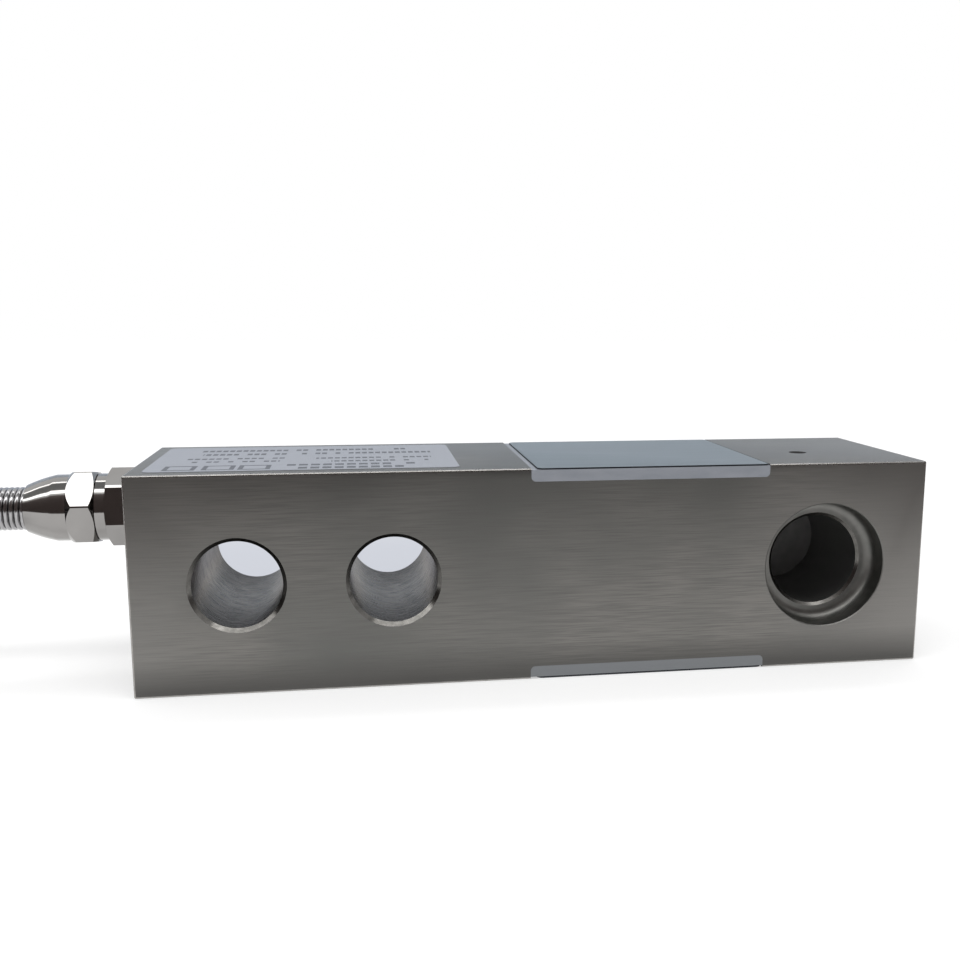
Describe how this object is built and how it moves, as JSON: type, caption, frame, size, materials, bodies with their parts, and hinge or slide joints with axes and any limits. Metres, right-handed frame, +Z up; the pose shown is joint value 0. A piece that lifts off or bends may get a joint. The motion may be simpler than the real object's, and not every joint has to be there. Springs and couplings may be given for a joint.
{
  "type": "digital load cell",
  "caption": "Square steel shear-beam load cell with mounting holes, a seated load hole, covered gauge pockets and a spring-guarded cable gland with a tied cable.",
  "frame": {"origin": "middle of the beam's bottom face", "axes": "+X along the beam from the cable end to the load end, -Y out of the face with the load seat, +Z up"},
  "size_m": [0.3466, 0.0496, 0.0369],
  "materials": {
    "beam_steel": "nickel-plated milled steel, fine lengthwise grain",
    "sealing_compound": "matte cured sealing compound",
    "cover_plate": "satin thin sheet",
    "label_foil": "satin silver sticker",
    "gauge_film": "amber film",
    "circuit_board": "green solder mask",
    "spacer_plastic": "moulded",
    "chip_plastic": "moulded",
    "crystal_can": "drawn metal can",
    "lead_ribbon": "flat ribbon",
    "bundle_sheath": "wrapped cores",
    "gland_nickel": "polished nickel-plated brass",
    "guard_steel": "bright spring wire",
    "seal_rubber": "matte",
    "cable_sheath": "satin black sheath",
    "core_black": "satin",
    "core_red": "satin",
    "core_green": "satin",
    "core_white": "satin",
    "drain_copper": "tinned copper strand",
    "tie_plastic": "moulded nylon"
  },
  "bodies": {
    "root": {"beam": "beam_steel", "top_sealing_bed": "sealing_compound", "top_cover_plate": "cover_plate", "bottom_sealing_bed": "sealing_compound", "bottom_cover_plate": "cover_plate", "rating_label": "label_foil", "upper_gauge": "gauge_film", "lower_gauge": "gauge_film", "lower_terminal_strip": "circuit_board", "board_spacers": "spacer_plastic", "converter_board": "circuit_board", "cable_terminal": "spacer_plastic", "converter_chip": "chip_plastic", "processor_chip": "chip_plastic", "bus_chip": "chip_plastic", "clock_crystal": "crystal_can", "upper_gauge_leads": "lead_ribbon", "lower_gauge_leads": "lead_ribbon", "core_bundle": "bundle_sheath", "gland_body": "gland_nickel", "gland_gasket": "seal_rubber", "gland_seal": "seal_rubber", "gland_nut": "gland_nickel", "spring_guard": "guard_steel", "cable_in_guard": "cable_sheath", "cable": "cable_sheath", "cable_hank": "cable_sheath", "black_core": "core_black", "red_core": "core_red", "green_core": "core_green", "white_core": "core_white", "drain_wire": "drain_copper", "front_tie": "tie_plastic", "rear_tie": "tie_plastic"}
  },
  "joints": []
}
